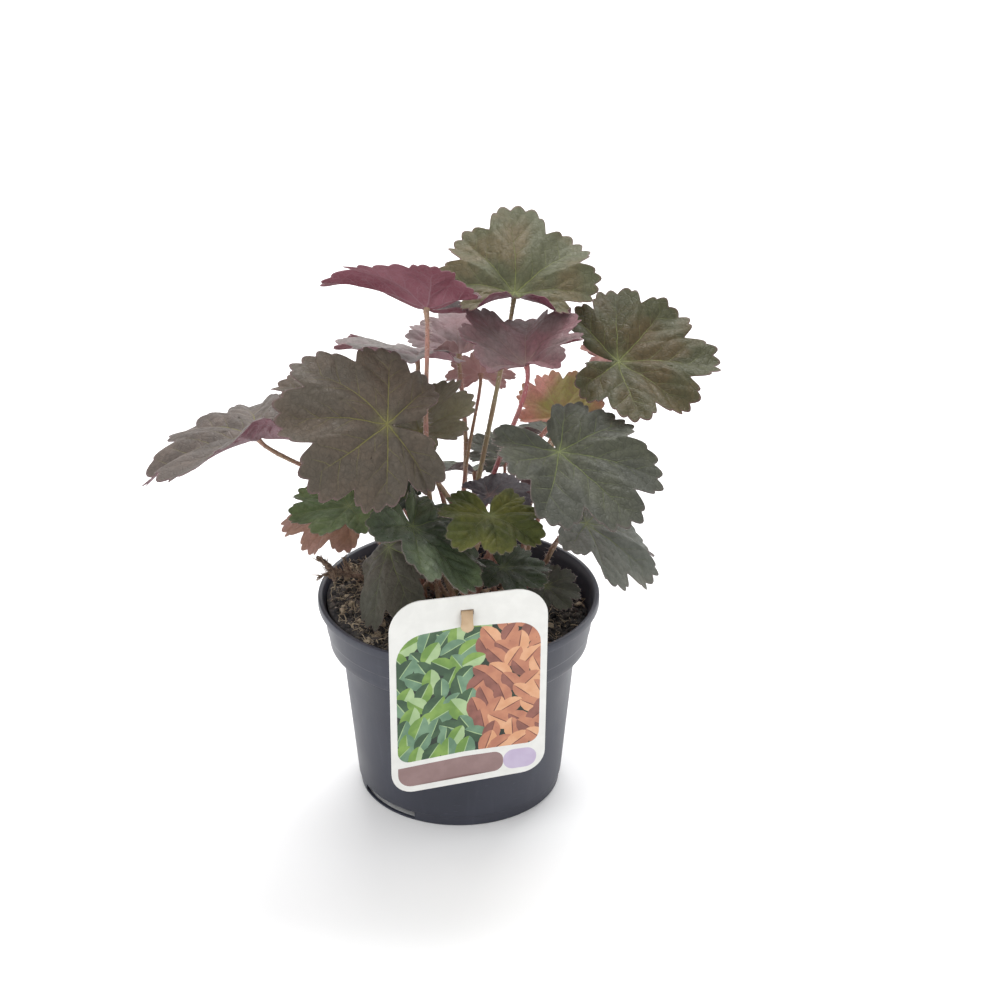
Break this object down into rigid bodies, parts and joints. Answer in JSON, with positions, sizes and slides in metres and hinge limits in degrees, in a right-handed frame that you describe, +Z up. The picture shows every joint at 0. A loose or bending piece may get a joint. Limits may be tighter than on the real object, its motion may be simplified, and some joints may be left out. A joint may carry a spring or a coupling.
{
  "type": "heuchera plant",
  "caption": "Heuchera plant with lobed olive, brown and burgundy leaves on thin stalks, in soil in a round dark nursery pot, with a picture label hung over the front of the rim.",
  "frame": {"origin": "centre of the pot's underside, at the plane it stands on", "axes": "+Z up, -Y towards the front, where the label hangs, +X to the right seen from the front"},
  "size_m": [0.2595, 0.177, 0.2645],
  "materials": {
    "pot_plastic": "satin",
    "peat": "matte",
    "card": "satin",
    "tan_plastic": "satin",
    "dead_stem": "matte",
    "leaf_olive": "satin",
    "leaf_wine": "satin",
    "leaf_plum": "satin",
    "leaf_orange": "satin",
    "leaf_brown": "satin",
    "leaf_green": "satin",
    "leaf_dark": "satin"
  },
  "bodies": {
    "root": {"pot": "pot_plastic", "soil": "peat", "label_card": "card", "label_stake": "tan_plastic", "dead_stems": "dead_stem", "leaf_01": "leaf_olive", "leaf_02": "leaf_wine", "leaf_03": "leaf_plum", "leaf_04": "leaf_olive", "leaf_05": "leaf_orange", "leaf_06": "leaf_brown", "leaf_07": "leaf_brown", "leaf_08": "leaf_green", "leaf_09": "leaf_green", "leaf_10": "leaf_brown", "leaf_11": "leaf_green", "leaf_12": "leaf_green", "leaf_13": "leaf_dark", "leaf_14": "leaf_green", "leaf_15": "leaf_plum", "leaf_16": "leaf_plum", "leaf_17": "leaf_wine", "leaf_18": "leaf_plum", "leaf_19": "leaf_orange", "leaf_20": "leaf_dark", "leaf_21": "leaf_green", "leaf_22": "leaf_wine", "leaf_23": "leaf_orange", "leaf_24": "leaf_dark", "leaf_25": "leaf_green", "leaf_26": "leaf_brown", "leaf_27": "leaf_green", "leaf_28": "leaf_green"}
  },
  "joints": []
}
